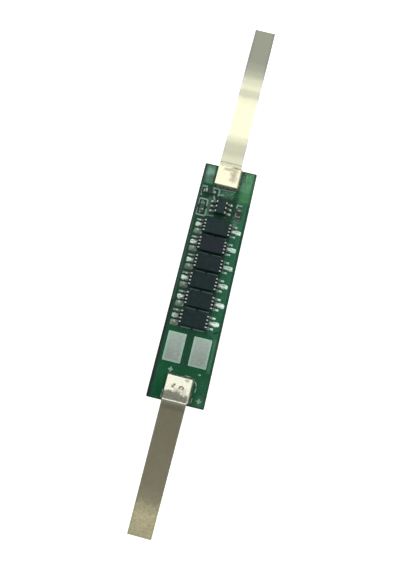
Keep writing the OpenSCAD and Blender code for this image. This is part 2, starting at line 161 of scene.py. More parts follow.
class NodeSheet:
    """Adds nodes to a tree and feeds their sockets."""

    def __init__(self, tree):
        self.tree = tree

    def add(self, kind, settings=None, inputs=None):
        """A node of any kind: its settings first, then the values or links of its sockets."""
        node = self.tree.nodes.new(kind)
        for key, value in (settings or {}).items():
            if key == "stops":
                self.set_stops(node.color_ramp, value)
            else:
                setattr(node, key, value)
        for key, value in (inputs or {}).items():
            self.feed(node.inputs[key], value)
        return node

    @staticmethod
    def set_stops(ramp, stops):
        """Puts the stops of a grey ramp, each a place and a shade from 0 to 1."""
        ramp.interpolation = "EASE"
        while len(ramp.elements) > 1:
            ramp.elements.remove(ramp.elements[-1])
        for i, (place, shade) in enumerate(stops):
            element = ramp.elements[0] if i == 0 else ramp.elements.new(place)
            element.position = place
            element.color = (shade, shade, shade, 1.0)

    def feed(self, socket, value):
        """Sets a socket to a number or a colour, or links another socket to it."""
        if isinstance(value, Channel):
            value = value.socket
        if isinstance(value, bpy.types.NodeSocket):
            self.tree.links.new(value, socket)
        elif socket.type == "RGBA":
            socket.default_value = (*value[:3], 1.0)
        else:
            socket.default_value = value

    def number(self, kind, settings=None, inputs=None):
        """The first output of a new node, as a number."""
        return Channel(self, self.add(kind, settings, inputs).outputs[0])

    def math(self, operation, *values, clamp=False):
        """One Math node fed with values."""
        return self.number("ShaderNodeMath", {"operation": operation, "use_clamp": clamp},
                           dict(enumerate(values)))

    def vector(self, operation, first, second):
        """One Vector Math node fed with two vectors."""
        return self.add("ShaderNodeVectorMath", {"operation": operation}, {0: first, 1: second}).outputs[0]

    def axes(self, vector):
        """The X, Y and Z of a vector, as numbers."""
        parts = self.add("ShaderNodeSeparateXYZ", None, {"Vector": vector})
        return [Channel(self, parts.outputs[i]) for i in range(3)]

    def blend(self, amount, first, second):
        """Colour first where amount is 0 and second where it is 1."""
        return self.add("ShaderNodeMix", {"data_type": "RGBA", "clamp_factor": True},
                        {0: amount, 6: first, 7: second}).outputs[2]

    def layered(self, base, *coats):
        """A base colour under coats, the lowest first. Each coat is an amount and a colour."""
        for amount, coat in coats:
            base = self.blend(amount, base, coat)
        return base


NOISE_CONTRAST = 2.4  # a noise texture keeps near 0.5, and this spreads it from 0 to 1


class Finish(NodeSheet):
    """A procedural material in the making, with its constants set on the shader's own sockets."""

    def __init__(self, name, **constants):
        self.material = bpy.data.materials.new(name)
        self.material.use_nodes = True
        super().__init__(self.material.node_tree)
        self.shader = self.tree.nodes["Principled BSDF"]
        self.surface(**constants)
        coords = self.add("ShaderNodeTexCoord").outputs["Object"]
        self.place = self.vector("MULTIPLY", coords, Vector((1, 1, 1)) / MM)
        self.x, self.y, self.z = self.axes(self.place)

    def surface(self, **looks):
        """Feeds the shader's sockets, each named in small letters."""
        for key, value in looks.items():
            self.feed(self.shader.inputs[key.replace("_", " ").title().replace("Ior", "IOR")], value)

    def noise(self, per_mm, detail, rough, warp=0.0, stretch=None):
        """Noise from 0 to 1, with about per_mm features in a millimetre where stretch is 1."""
        vector = self.vector("MULTIPLY", self.place, Vector(stretch)) if stretch else self.place
        raw = self.number("ShaderNodeTexNoise", None,
                          {"Vector": vector, "Scale": per_mm, "Detail": detail, "Roughness": rough,
                           "Distortion": warp})
        return ((raw - 0.5) * NOISE_CONTRAST + 0.5).clamped()

    def area(self, low, high, soft, wander=None):
        """1 in a rectangle of the board's plane, with soft edges that a noise may move about."""
        x, y = (self.x, self.y) if wander is None else (self.x + wander, self.y + wander)
        return x.inside(low[0], high[0], soft) * y.inside(low[1], high[1], soft)

    def distance(self, centre, wander=0.0):
        """Distance in the board's plane from a centre that a noise may move about."""
        dx, dy = self.x - centre[0] + wander, self.y - centre[1] + wander
        return (dx * dx + dy * dy).do("SQRT")

    def spot(self, centre, radius, soft):
        """1 in a round spot of the board's plane."""
        return self.distance(centre).fall(radius - soft, radius + soft)

    def ring(self, centre, radius, width, wander):
        """1 on a round line in the board's plane."""
        return abs(self.distance(centre, wander) - radius).fall(width * 0.4, width)

    def profile(self, value, low, high, stops):
        """A number that follows stops as value goes from low to high. Each stop is a value and a shade."""
        placed = [((place - low) / (high - low), shade) for place, shade in sorted(stops)]
        return self.number("ShaderNodeValToRGB", {"stops": placed},
                           {"Fac": ((value - low) / (high - low)).clamped()})

    def bump(self, height, depth, radius=0.0):
        """A normal from a height of 0 to 1 that stands for depth, over edges rounded by radius, in mm."""
        inputs = {"Strength": 1.0, "Distance": depth * MM, "Height": height}
        if radius:
            inputs["Normal"] = self.add("ShaderNodeBevel", {"samples": 4},
                                        {"Radius": radius * MM}).outputs["Normal"]
        return self.add("ShaderNodeBump", None, inputs).outputs["Normal"]

    def done(self, **looks):
        """Links what varies over the surface and returns the material."""
        self.surface(**looks)
        return self.material


def paint(node, material):
    """Gives a CAD node one finish in all its slots."""
    mesh_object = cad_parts[node]
    if not mesh_object.material_slots:
        mesh_object.data.materials.append(material)
    for slot in mesh_object.material_slots:
        slot.material = material


# ---- Mesh helpers, all in millimetres ----

def make_piece(name, bm, material, stands_for=(), crease_angle=60):
    """Turns a bmesh in millimetres into a piece of the object that rides on it."""
    bmesh.ops.remove_doubles(bm, verts=bm.verts, dist=1e-5)
    bmesh.ops.recalc_face_normals(bm, faces=bm.faces)
    bmesh.ops.scale(bm, vec=(MM, MM, MM), verts=bm.verts)
    mesh = bpy.data.meshes.new(name)
    bm.to_mesh(mesh)
    bm.free()
    mesh.materials.append(material)
    piece = bpy.data.objects.new(name, mesh)
    bpy.context.scene.collection.objects.link(piece)
    mesh.shade_smooth()
    mesh.set_sharp_from_angle(angle=math.radians(crease_angle))
    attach(piece, "root")
    if stands_for:
        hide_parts(*stands_for)


def arc(centre, radius, start, end, steps):
    """Points on an arc, angles in degrees."""
    return [Vector((centre[0] + radius * math.cos(math.radians(start + (end - start) * i / steps)),
                    centre[1] + radius * math.sin(math.radians(start + (end - start) * i / steps))))
            for i in range(steps + 1)]


def rounded_rectangle(centre, width, length, radius, steps=4):
    """Outline of a rectangle with round corners, anticlockwise."""
    x, y = width / 2 - radius, length / 2 - radius
    points = []
    for sx, sy, start in ((1, 1, 0), (-1, 1, 90), (-1, -1, 180), (1, -1, 270)):
        points += arc((centre[0] + sx * x, centre[1] + sy * y), radius, start, start + 90, steps)
    return points


def add_rings(bm, rings):
    """A closed solid whose skin runs from the first ring of points to the last, all anticlockwise."""
    rings = [[bm.verts.new(point) for point in ring] for ring in rings]
    count = len(rings[0])
    for lower, upper in zip(rings, rings[1:]):
        for i in range(count):
            j = (i + 1) % count
            bm.faces.new((lower[i], lower[j], upper[j], upper[i]))
    bm.faces.new(rings[-1])
    bm.faces.new(rings[0][::-1])


def add_plate(bm, outline, low, high, bevel=0.0):
    """A flat plate from an outline, with a bevel round its top edge if it has one."""
    levels = [(outline, low), (outline, high - bevel)]
    if bevel:
        centre = sum(outline, Vector((0, 0))) / len(outline)
        inner = [centre + (p - centre) * (1 - bevel / max((p - centre).length, bevel * 2)) for p in outline]
        levels.append((inner, high))
    add_rings(bm, [[(p.x, p.y, z) for p in points] for points, z in levels])


def add_stroke(bm, anchor, points, width, low, high, end_steps=4):
    """A line of even width along points measured from an anchor, with round ends."""
    points = [Vector((anchor.x + x, anchor.y + y)) for x, y in points]
    left, right = [], []
    for i, point in enumerate(points):
        before = (point - points[i - 1]).normalized() if i else (points[1] - point).normalized()
        after = (points[i + 1] - point).normalized() if i < len(points) - 1 else before
        side = Vector((-before.y - after.y, before.x + after.x))
        side /= max(0.3, 1 + before.dot(after))  # a sharp corner isn't drawn out to its full point
        left.append(point + side * width / 2)
        right.append(point - side * width / 2)
    first, last = points[1] - points[0], points[-1] - points[-2]
    head = math.degrees(math.atan2(last.y, last.x))
    tail = math.degrees(math.atan2(first.y, first.x))
    outline = right + arc(points[-1], width / 2, head - 90, head + 90, end_steps)[1:-1]
    outline += left[::-1] + arc(points[0], width / 2, tail + 90, tail + 270, end_steps)[1:-1]
    add_plate(bm, outline, low, high)


def cross(centre, reach, arm):
    """Outline of a cross: how far it reaches from its centre, and half the width of its arms."""
    corner = [(reach, arm), (arm, arm), (arm, reach)]
    return [Vector((centre[0] + sx * x, centre[1] + sy * y))
            for sx, sy in ((1, 1), (-1, 1), (-1, -1), (1, -1))
            for x, y in (corner if sx == sy else corner[::-1])]


def add_via(bm, centre, outer, inner, rise, steps=20):
    """A plated ring that stands a little proud of the board, with a funnel down into its hole."""
    lip, shoulder = 0.02, TOP + rise * 0.8
    profile = [(outer, TOP - SUNK / 2), (outer - lip, shoulder), ((outer + inner) / 2, TOP + rise),
               (inner + lip, shoulder), (inner, TOP + 0.004), (inner * 0.2, TOP + 0.003)]
    turns = [math.tau * s / steps for s in range(steps)]
    add_rings(bm, [[(centre[0] + r * math.cos(a), centre[1] + r * math.sin(a), z) for a in turns]
                   for r, z in profile])


def add_heap(bm, centre, half_l, half_w, rise, low, neck, ridge, spread, turn, seed,
             rings=14, spokes=60):
    """A heap of solder over a land: its centre, half sizes along X and Y, and its height.

    It runs out from the package in the direction turn along X. Its inner end is neck times as wide as its
    outer end, and carries ridges where the solder has climbed the leads, spread apart on both sides of its
    centre line. Low ridges fan out over it.
    """
    def swell(u, v):
        """Slow unevenness of frozen solder."""
        return noise.noise(Vector((u * 1.6 + seed, v * 1.6 - seed, seed * 3.1)))

    def level(u, v, t, across):
        """Height of the skin, where t runs from 0 at the summit to 1 at the foot."""
        out = u * turn
        dome = max(0.0, 1 - t ** 2.4) ** 0.6
        crest = ridge * math.exp(-((abs(across) - spread) / 0.35) ** 2) * max(0.0, 0.5 - out)
        fan = 0.09 * math.cos(math.tau * (across + 0.5)) + 0.05 * math.sin(13 * across + seed)
        return rise * dome * (0.80 + 0.12 * out + crest + fan + 0.22 * swell(u, v))

    def width(out):
        """Width at a place between the inner end, -1, and the outer end, 1."""
        share = min(1.0, max(0.0, (out + 1) / 1.25))
        return neck + (1 - neck) * share * share * (3 - 2 * share)

    summit = bm.verts.new((centre[0], centre[1], low + level(0, 0, 0, 0)))
    base = bm.verts.new((centre[0], centre[1], low))
    previous = None
    for ring in range(1, rings + 1):
        t = math.sin(math.pi / 2 * ring / rings)
        row = []
        for s in range(spokes):
            c, d = math.cos(math.tau * s / spokes), math.sin(math.tau * s / spokes)
            reach = (abs(c) ** 4 + abs(d) ** 4) ** (-1 / 4) * (1 + 0.16 * swell(c * 2, d * 2))
            u = max(-1.0, min(1.0, t * reach * c))
            across = max(-1.0, min(1.0, t * reach * d))
            v = across * width(u * turn)
            row.append(bm.verts.new((centre[0] + u * half_l, centre[1] + v * half_w,
                                     low + level(u, v, t, across))))
        for s in range(spokes):
            n = (s + 1) % spokes
            if previous is None:
                bm.faces.new((summit, row[s], row[n]))
            else:
                bm.faces.new((previous[s], row[s], row[n], previous[n]))
        previous = row
    for s in range(spokes):
        bm.faces.new((base, previous[(s + 1) % spokes], previous[s]))


# ---- Settings that a user would change ----

def colour(name, description, default):
    """A colour setting."""
    return FloatVectorProperty(name=name, description=description, default=default, size=3, min=0.0,
                               max=1.0, subtype="COLOR")


def length(name, description, default_mm):
    """A length setting, with its default in millimetres."""
    return FloatProperty(name=name, description=description, default=default_mm * MM, min=0.0,
                         unit="LENGTH", subtype="DISTANCE")


class MaskLooks(PropertyGroup):
    bare: colour("Bare laminate", "Solder mask over laminate without copper", (0.0045, 0.080, 0.027))
    deep: colour("Deep mask", "Solder mask between the soldered parts", (0.0135, 0.050, 0.032))
    copper: colour("Mask on copper", "Solder mask over the copper pours", (0.028, 0.135, 0.072))
    moss: colour("Mask near the chip", "Yellower mask between the chip and the minus block",
                 (0.085, 0.285, 0.120))
    # Haze also serves as a painted sheen of reflected light on the mask left of the minus block.
    haze_and_sheen: colour("Haze", "Dried flux and scatter on the mask near the minus block", (0.28, 0.50, 0.37))
    border: colour("Border", "Mask along the board's long edges", (0.043, 0.083, 0.065))
    rim: colour("Rim", "Thin mask at the very edge of the board", (0.016, 0.030, 0.027))
    edge: colour("Cut edge", "Sawn glass laminate at the board's edge", (0.045, 0.062, 0.035))
    print: colour("Print", "Printed lines and polarity marks", (0.30, 0.46, 0.38))
    grey_print: colour("Greyer print", "Print between the transistors", (0.13, 0.18, 0.19))
    flux: colour("Flux", "Brown flux beside the joints", (0.115, 0.150, 0.085))


class MetalLooks(PropertyGroup):
    nickel: colour("Nickel", "Clean nickel of the strips", (0.93, 0.93, 0.68))
    glare: colour("Glaring nickel", "Nickel on the plus block, where it faces the light", (1.0, 1.0, 0.82))
    lip: colour("Bent lip", "Line of light where the plus strip bends off its block", (1.0, 1.0, 0.86))
    # The two edge colours are painted light on the minus strip's long edges: white glare and grey shade.
    glare_edge: colour("White edge", "Long edges of the minus strip where it is clean", (0.97, 0.95, 0.93))
    shaded_edge: colour("Grey edge", "Long edges of the minus strip where it is filmed", (0.22, 0.225, 0.225))
    block: colour("Block", "Nickel of the weld blocks' walls", (0.46, 0.47, 0.31))
    film: colour("Nickel film", "Grey film on the nickel", (0.320, 0.335, 0.260))
    straw: colour("Straw film", "Thin yellow film on the nickel", (1.0, 0.93, 0.58))
    brown: colour("Brown film", "Brown film on the shaded strip", (0.365, 0.338, 0.235))
    stain: colour("Heat stain", "Warm stain left by the weld", (0.56, 0.49, 0.37))
    # Scorch is also used as painted shade, at the foot of the weld blocks and in the minus strip's creases.
    scorch_and_shade: colour("Scorch", "Burnt marks round the welds", (0.16, 0.14, 0.09))
    solder: colour("Solder", "Bright solder", (0.74, 0.90, 0.80))
    green_solder: colour("Greenish solder", "Hollows of solder under a clear green film", (0.17, 0.40, 0.28))
    dull_solder: colour("Dull solder", "Solder under flux", (0.20, 0.28, 0.22))
    amber_flux: colour("Amber flux", "Flux on the middle gate joints", (0.12, 0.155, 0.085))
    tin: colour("Tin", "Tinned leads and caps", (0.62, 0.62, 0.60))
    # Also the painted shade on the sloping part of the leads.
    dull_tin_and_shade: colour("Dull tin", "Tin under flux", (0.045, 0.065, 0.055))
    pad: colour("Pad", "Tinned output pads", (0.36, 0.43, 0.385))
    pad_rim: colour("Pad rim", "Thicker tin at the rim of the output pads", (0.36, 0.56, 0.44))


class PartLooks(PropertyGroup):
    mould: colour("Moulding", "Moulding compound of the packages", (0.0075, 0.0225, 0.0205))
    mould_aged: colour("Aged moulding", "Bluer patches of the moulding compound", (0.0160, 0.0215, 0.0290))
    # Used paler on the first package and the chip, towards the board's minus end.
    mould_pale: colour("Pale moulding", "Bloom on the first package and the chip", (0.050, 0.085, 0.085))
    coat: colour("Resistor coat", "Glass coat of the resistors", (0.008, 0.020, 0.015))
    ceramic: colour("Ceramic", "Ceramic of the resistors", (0.10, 0.15, 0.12))
    capacitor: colour("Capacitor", "Ceramic of the capacitor", (0.020, 0.065, 0.045))


class SolderSizes(PropertyGroup):
    heap_rise: length("Heap height", "Height of the solder heaps above their lands", 0.42)
    lead_ridge: FloatProperty(name="Lead ridge", description="Height share of solder over a lead",
                              default=0.3, min=0.0, max=1.0, subtype="FACTOR")


class PrintSizes(PropertyGroup):
    thickness: length("Ink thickness", "Height of the printed lines", 0.015)
    width: length("Line width", "Width of the printed lines", 0.32)


class StudioLooks(PropertyGroup):
    focal: FloatProperty(name="Focal length", description="Focal length of the camera in millimetres",
                         default=28.42, min=10.0, max=200.0)
    camera_place: FloatVectorProperty(name="Camera place", description="Place of the camera",
                                      default=(0.00117, -0.020084, 0.080643), size=3, subtype="TRANSLATION")
    camera_turn: FloatVectorProperty(name="Camera turn", description="Rotation of the camera",
                                     default=[math.radians(a) for a in (13.1432, -1.8829, 13.3714)],
                                     size=3, subtype="EULER")
    bright: FloatProperty(name="Soft light", description="Strength of the light tent", default=1.1,
                          min=0.0)
    dim: FloatProperty(name="Dim side", description="Strength where the tent is open", default=0.2,
                       min=0.0)
    floor: FloatProperty(name="Floor glow", description="Light given by the floor itself", default=0.62,
                         min=0.0)


# ---- Finishes ----

ROW_TOP = middle("transistor_1_body").y
ROW_PITCH = ROW_TOP - middle("transistor_2_body").y
ROW_MIDDLE = (ROW_TOP + middle(f"transistor_{TRANSISTORS}_body").y) / 2
ROW_LOW = ROW_MIDDLE - TRANSISTORS * ROW_PITCH / 2
BLOCK_PLUS = middle("weld_block_plus")
BLOCK_MINUS = middle("weld_block_minus")
CHIP = middle("protection_chip_body")
CHIP_PITCH = 0.95
CHIP_FOOT_ENDS = 1.86  # distance of the feet's outer ends from the chip's centre line
PADS = ("output_pad_plus", "output_pad_minus")
PADS_Y = middle(PADS[0]).y
STRIP_LINES = {"plus": (0.0192, 0.31), "minus": (0.0122, -0.55)}  # slope of the centre line, x at y = 0
ABOVE_CHIP = ((-0.5, CHIP.y + 2.4), (1.6, CHIP.y + 3.9))


def mask_patches(looks):
    """Low corner, high corner, softness of the edges, colour and amount of each patch of the mask."""
    row_low, row_high = ROW_LOW - 0.4, CHIP.y + 2.6
    return [
        ((-1.3, PADS_Y - 3.3), (1.0, row_low), 0.5, looks.deep, 0.6),
        ((-4.4, row_low), (2.9, row_high), 0.3, looks.deep, 0.85),
        ((2.7, row_low), (3.7, CHIP.y - 1.6), 0.2, looks.copper, 0.55),
        ((3.6, PADS_Y + 3.1), (4.7, row_high + 0.1), 0.2, looks.copper, 1.0),
        ((4.1, PADS_Y - 3.0), (4.7, PADS_Y + 3.0), 0.2, looks.copper, 0.8),
        ((4.1, PADS_Y - 3.3), (4.7, PADS_Y + 3.0), 0.3, looks.haze_and_sheen, 0.12),
        ((2.9, CHIP.y + 2.1), (4.8, HALF_L), 0.9, looks.moss, 0.9),
        ((2.4, HALF_L - 4.1), (4.4, HALF_L - 2.6), 0.6, looks.haze_and_sheen, 0.22),
        ((3.2, 2.6 - HALF_L), (4.9, 5.0 - HALF_L), 0.8, looks.copper, 0.45),
        ((3.4, -HALF_L), (4.9, 2.0 - HALF_L), 0.7, looks.haze_and_sheen, 0.12),
        ((-2.9, CHIP.y - 1.8), (-2.2, CHIP.y + 1.8), 0.25, looks.haze_and_sheen, 0.20),
        (*ABOVE_CHIP, 0.5, looks.haze_and_sheen, 0.15),
        ((1.2, CHIP.y - 1.5), (2.3, CHIP.y + 1.5), 0.3, looks.deep, 0.5),
        ((2.6, CHIP.y - 3.5), (3.7, CHIP.y - 1.4), 0.4, looks.haze_and_sheen, 0.20),
        # A paler land and, over it, a painted sheen of reflected light on the mask left of the minus block.
        ((-4.7, BLOCK_MINUS.y - 1.95), (-2.85, HALF_L - 0.2), 0.15, looks.haze_and_sheen, 0.34),
        ((-4.5, BLOCK_MINUS.y - 0.1), (-3.0, HALF_L - 0.9), 0.5, looks.haze_and_sheen, 0.75),
        ((-HALF_W, -HALF_L), (0.55 - HALF_W, HALF_L), 0.08, looks.border, 0.9),
        ((-HALF_W, -HALF_L), (0.5 - HALF_W, ROW_MIDDLE - 6.07), 0.2, looks.rim, 0.95),
    ]


def solder_mask(name, looks):
    """Green mask, darker over bare laminate, lighter over copper, hazy and with a painted sheen beside the
    minus block.
    """
    f = Finish(name, specular_ior_level=0.08)
    cloud = f.noise(0.55, 3, 0.6, 0.6)
    fine = f.noise(4.5, 4, 0.65)
    wander = (cloud - 0.5) * 0.6
    freckles = fine.rise(0.45, 0.8) * (f.area((2.5, HALF_L - 3.2), (4.6, HALF_L - 0.2), 0.3)
                                       + f.area(*ABOVE_CHIP, 0.4) * 0.8
                                       + f.area((2.4, CHIP.y - 3.5), (4.0, CHIP.y + 0.7), 0.4) * 0.6)
    joint_y = (f.y - (ROW_TOP - 1.5)).wrapped(ROW_PITCH)
    beside = f.x.inside(-4.25, -2.95, 0.12) * f.y.inside(ROW_LOW - 0.8, ROW_TOP, 0.2)
    flux = (joint_y.inside(-0.35, 0.40, 0.18) * beside * (0.55 + fine * 0.8)).clamped()
    inner_w, inner_l = HALF_W - 0.17, HALF_L - 0.17
    rim = 1.0 - f.area((-inner_w, -inner_l), (inner_w, inner_l), 0.06)
    hairline = f.x.inside(-4.42, -4.34, 0.03) + f.x.inside(4.66, 4.72, 0.03)
    face = f.layered(
        f.blend(cloud * 0.2, looks.bare, looks.copper),
        *[(f.area(low, high, soft, wander * soft) * (amount * 0.75 + cloud * amount * 0.5), shade)
          for low, high, soft, shade, amount in mask_patches(looks)],
        (freckles * 0.6 + fine.rise(0.6, 1.0) * 0.12, looks.haze_and_sheen),
        (fine.fall(0.1, 0.4) * 0.35, looks.deep),
        (flux * 0.85, looks.flux),
        ((rim * 0.85 + hairline * 0.6).clamped(), looks.rim))
    weave = (f.x * 14.0).sine() * (f.y * 14.0).sine() * 0.5 + 0.5
    layers = (f.z * 34.0 + fine * 5.0).sine() * 0.5 + 0.5
    cut = f.blend(layers * 0.6, looks.edge, looks.bare)
    return f.done(base_color=f.blend(f.z.rise(TOP - 0.05, TOP - 0.02), cut, face),
                  roughness=0.26 + cloud * 0.2 + flux * 0.2,
                  normal=f.bump(weave * 0.4 + fine * 0.6, 0.014, 0.04))


def rolled_nickel(name):
    """Nickel in the making, with its rolled grain, its clouds and its mottle."""
    f = Finish(name, metallic=1.0)
    return f, f.noise(8.0, 3, 0.6, 0.0, (1.0, 0.04, 1.0)), f.noise(0.8, 4, 0.6, 0.9), f.noise(3.0, 4, 0.7)


def across_strip(f, end):
    """Distance across a strip, from its centre line."""
    slope, start = STRIP_LINES[end]
    return f.x - f.y * slope - start


def weld_scorch(f, mottle):
    """Burnt marks on the plus block: an open ring, a slanting smear and two faint patches."""
    blotch = (mottle - 0.5) * 0.5
    block = BLOCK_PLUS.y
    ring = f.ring((0.50, block + 0.20), 0.34, 0.20, blotch * 0.5) * f.y.rise(block - 0.05, block + 0.3)
    smear = f.spot((-1.06, block + 0.30), 0.20, 0.16) + f.spot((-0.78, block + 0.64), 0.20, 0.16)
    return ((ring + smear) * (0.5 + mottle)
            + f.area((0.8, block + 1.5), (1.6, block + 1.95), 0.2, blotch) * 0.55
            + f.area((-0.9, block - 0.55), (1.4, block + 0.1), 0.3, blotch) * 0.4)


def strip_plus_finish(name, looks):
    """Rolled nickel: painted glare on the weld face, a brown film, painted shade and light round the bend, a
    less filmed mottled end.
    """
    f, grain, cloud, mottle = rolled_nickel(name)
    wander = (cloud - 0.5) + (mottle - 0.5) * 0.7
    low, high = (corner.y for corner in box_mm("nickel_strip_plus"))
    block = BLOCK_PLUS.y
    edge = block - 2.02  # here the strip bends down off its block
    # Partly a film and partly painted light: full painted glare on the block, darkest just off it, lighter
    # again towards the free end.
    clean_and_lit = f.profile(f.y + wander * 0.8, low, high, [
        (low, 0.52), (low + 1.5, 0.60), (low + 3.6, 0.68), (low + 5.0, 0.45), (low + 7.0, 0.14),
        (low + 10.0, 0.07), (edge - 0.6, 0.0), (block - 0.85, 0.0), (block - 0.3, 1.0), (high, 1.0)])
    on_block = f.y.rise(edge - 0.1, edge + 0.1)
    off_block = 1.0 - on_block
    worn = (mottle * 0.7 + cloud * 0.2) * (1.0 - on_block * 0.8)
    shaded = f.y.inside(edge - 1.5, edge - 0.1, 0.35)
    across = across_strip(f, "plus")
    long_edge = abs(across).rise(1.7, 2.12) * off_block
    lip = (f.y + wander * 0.1).inside(edge - 0.14, edge + 0.05, 0.06)
    right_edge_highlight = across.inside(1.97, 2.3, 0.05) * f.y.inside(edge, edge + 2.2, 0.2)
    speckle = mottle.rise(0.35, 0.75) * on_block * (1.0 - clean_and_lit) * 0.5
    film = Vector(looks.film)
    # Painted light in these coats: glare on the block face, shade just below its edge, a bright line on the
    # bent lip and a highlight on the right edge.
    tone = f.layered(
        f.blend(on_block, looks.brown, film * 0.85),
        ((clean_and_lit * (1.15 - worn)).clamped(), f.blend(on_block, looks.straw, looks.glare)),
        (shaded * 0.45, film * 0.6),
        (long_edge * 0.35, film * 1.1),
        (lip, looks.lip),
        (right_edge_highlight * 0.8, looks.nickel),
        ((weld_scorch(f, mottle) * 0.95 + speckle).clamped(), Vector(looks.scorch_and_shade) * 0.75))
    return f.done(base_color=tone,
                  roughness=0.24 + grain * 0.12 + (1.0 - clean_and_lit) * 0.12 + clean_and_lit * off_block * 0.42,
                  normal=f.bump(grain * 0.3 + mottle * 0.7 + lip, 0.03))


def strip_minus_finish(name, looks):
    """Rolled nickel with painted highlight bands, filmed towards its end, with painted shade in the creases
    where it leaves the board.
    """
    f, grain, cloud, mottle = rolled_nickel(name)
    wander = (cloud - 0.5) * 0.8 + (mottle - 0.5) * 0.25
    low, high = (corner.y for corner in box_mm("nickel_strip_minus"))
    end = HALF_L
    beyond = [(-0.6, 1.0), (0.0, 0.55), (1.3, 0.62), (3.0, 0.42), (4.6, 0.45), (6.1, 0.75), (7.4, 1.0),
              (14.8, 1.0), (16.1, 0.90), (17.5, 0.52), (18.3, 0.55), (19.3, 0.80), (21.0, 0.60),
              (22.8, 0.24), (24.4, 0.09), (26.4, 0.0)]  # brightness at each distance from the board's end: painted highlight bands over a film that thickens towards the far end
    # Painted reflections: bright bands where the strip would mirror the light, duller between, over a film
    # towards its far end.
    clean_and_lit = f.profile(f.y + wander * 0.5, low, high,
                      [(low, 1.0), (high, 0.0)] + [(end + past, shade) for past, shade in beyond])
    # Painted light on the long edges: grey shade where the strip is dull and white glare where it is bright.
    long_edge = abs(across_strip(f, "minus")).rise(1.55, 2.15) * f.y.rise(end + 0.4, end + 2.4)
    # Painted shade: the creases and a patch beside them are darkened; the creases are dented too.
    creases = (f.area((0.2, end - 0.4), (2.0, end - 0.24), 0.08, wander * 0.3)
               + (f.y + wander * 0.3).inside(end + 0.42, end + 0.56, 0.07) * (0.3 + mottle * 0.9)
               + f.area((-1.3, end - 1.1), (0.2, end - 0.6), 0.22, wander * 0.7) * 0.55)
    worn = (f.area((0.1, end - 3.2), (1.5, end - 0.3), 0.5, wander) * (0.26 + mottle * 0.5)
            + f.spot((0.7, end - 1.9), 0.35, 0.33) * 0.22 + mottle.rise(0.6, 1.0) * 0.1)
    tone = f.layered(
        f.blend(clean_and_lit, looks.film, looks.nickel),
        (long_edge * 0.65, f.blend(clean_and_lit, looks.shaded_edge, looks.glare_edge)),
        ((worn * 1.9).clamped(), looks.stain),
        ((creases * 0.95).clamped(), looks.scorch_and_shade))
    return f.done(base_color=tone, roughness=0.22 + grain * 0.14 + (1.0 - clean_and_lit) * 0.14,
                  normal=f.bump(grain * 0.3 + mottle * 0.5 + (1.0 - creases).clamped() * 0.6, 0.03))


def block_finish(name, looks):
    """Nickel block with solder crept up its walls, and painted shade at their foot by the board."""
    f = Finish(name, metallic=0.2)
    mottle = f.noise(2.6, 4, 0.65, 0.4)
    height = f.z + (mottle - 0.5) * 0.25
    tone = f.layered(
        looks.block,
        (height.fall(TOP + 0.45, TOP + 0.75) * 0.75, Vector(looks.dull_solder) * 0.6),
        # Painted shade at the foot of the walls, next to the board.
        (height.fall(TOP + 0.12, TOP + 0.35), Vector(looks.scorch_and_shade) * 0.25))
    return f.done(base_color=tone, roughness=0.4 + mottle * 0.2, normal=f.bump(mottle, 0.02, 0.03))


def with_gate_flux(f, tone, ripple, looks):
    """Solder under dark flux on the gate joints, with a painted glint where the other joints end."""
    gate = (f.y - (ROW_TOP - 1.0)).wrapped(ROW_PITCH).inside(-0.95, -0.16, 0.14) * f.x.fall(-2.9, -2.7)
    amber = (f.y - ROW_MIDDLE + 1.0).size_within(ROW_PITCH * 1.5)
    # Painted glint at the outer end of the other joints.
    end = abs(f.x).inside(3.35, 3.62, 0.1) * ripple.rise(0.3, 0.6) * (1.0 - gate)
    return f.layered(
        tone,
        ((gate * (0.12 + ripple * 0.8 + amber * 0.2)).clamped(),
         f.blend(amber * 0.7, Vector(looks.dull_solder) * 0.6, looks.amber_flux)),
        (end * 0.7, looks.solder))


def solder_finish(name, looks, dullness=0.0, metallic=1.0, gate_flux=False):
    """Solder with bright frozen ripples, darker flux in its hollows and, if asked, on the gate joints, and
    painted light along the row.
    """
    f = Finish(name, metallic=metallic)
    ripple = f.noise(1.7, 4, 0.6, 0.8)
    streak = f.noise(2.6, 3, 0.6, 0.4, (0.35, 2.4, 1.0))
    foot = f.z.fall(TOP + 0.06, TOP + 0.22)
    right = f.x.rise(-1.0, 1.0)
    left = 1.0 - right
    lower = f.y.fall(ROW_MIDDLE - 7.0, ROW_MIDDLE + 1.0)
    shade = ripple * 0.5 + streak * 0.75 + foot * 0.45 + (dullness - 0.25)
    # Painted light: right heaps lighter on the lower rows and at their inner ends, left heaps darker lower
    # down.
    shade = shade + left * lower * 0.14 - right * (lower * 0.55 + 0.08 + f.x.fall(2.9, 3.6) * 0.35)
    shade = shade.clamped()
    hollow = f.blend(right * (1.0 - lower), looks.dull_solder, looks.green_solder)
    tone = f.blend((shade - 0.5) * 1.25 + 0.5, looks.solder, hollow)
    if gate_flux:
        tone = with_gate_flux(f, tone, ripple, looks)
    return f.done(base_color=tone, roughness=0.22 + streak * 0.18 + shade * 0.15,
                  normal=f.bump(ripple * 0.6 + streak * 0.4, 0.05))


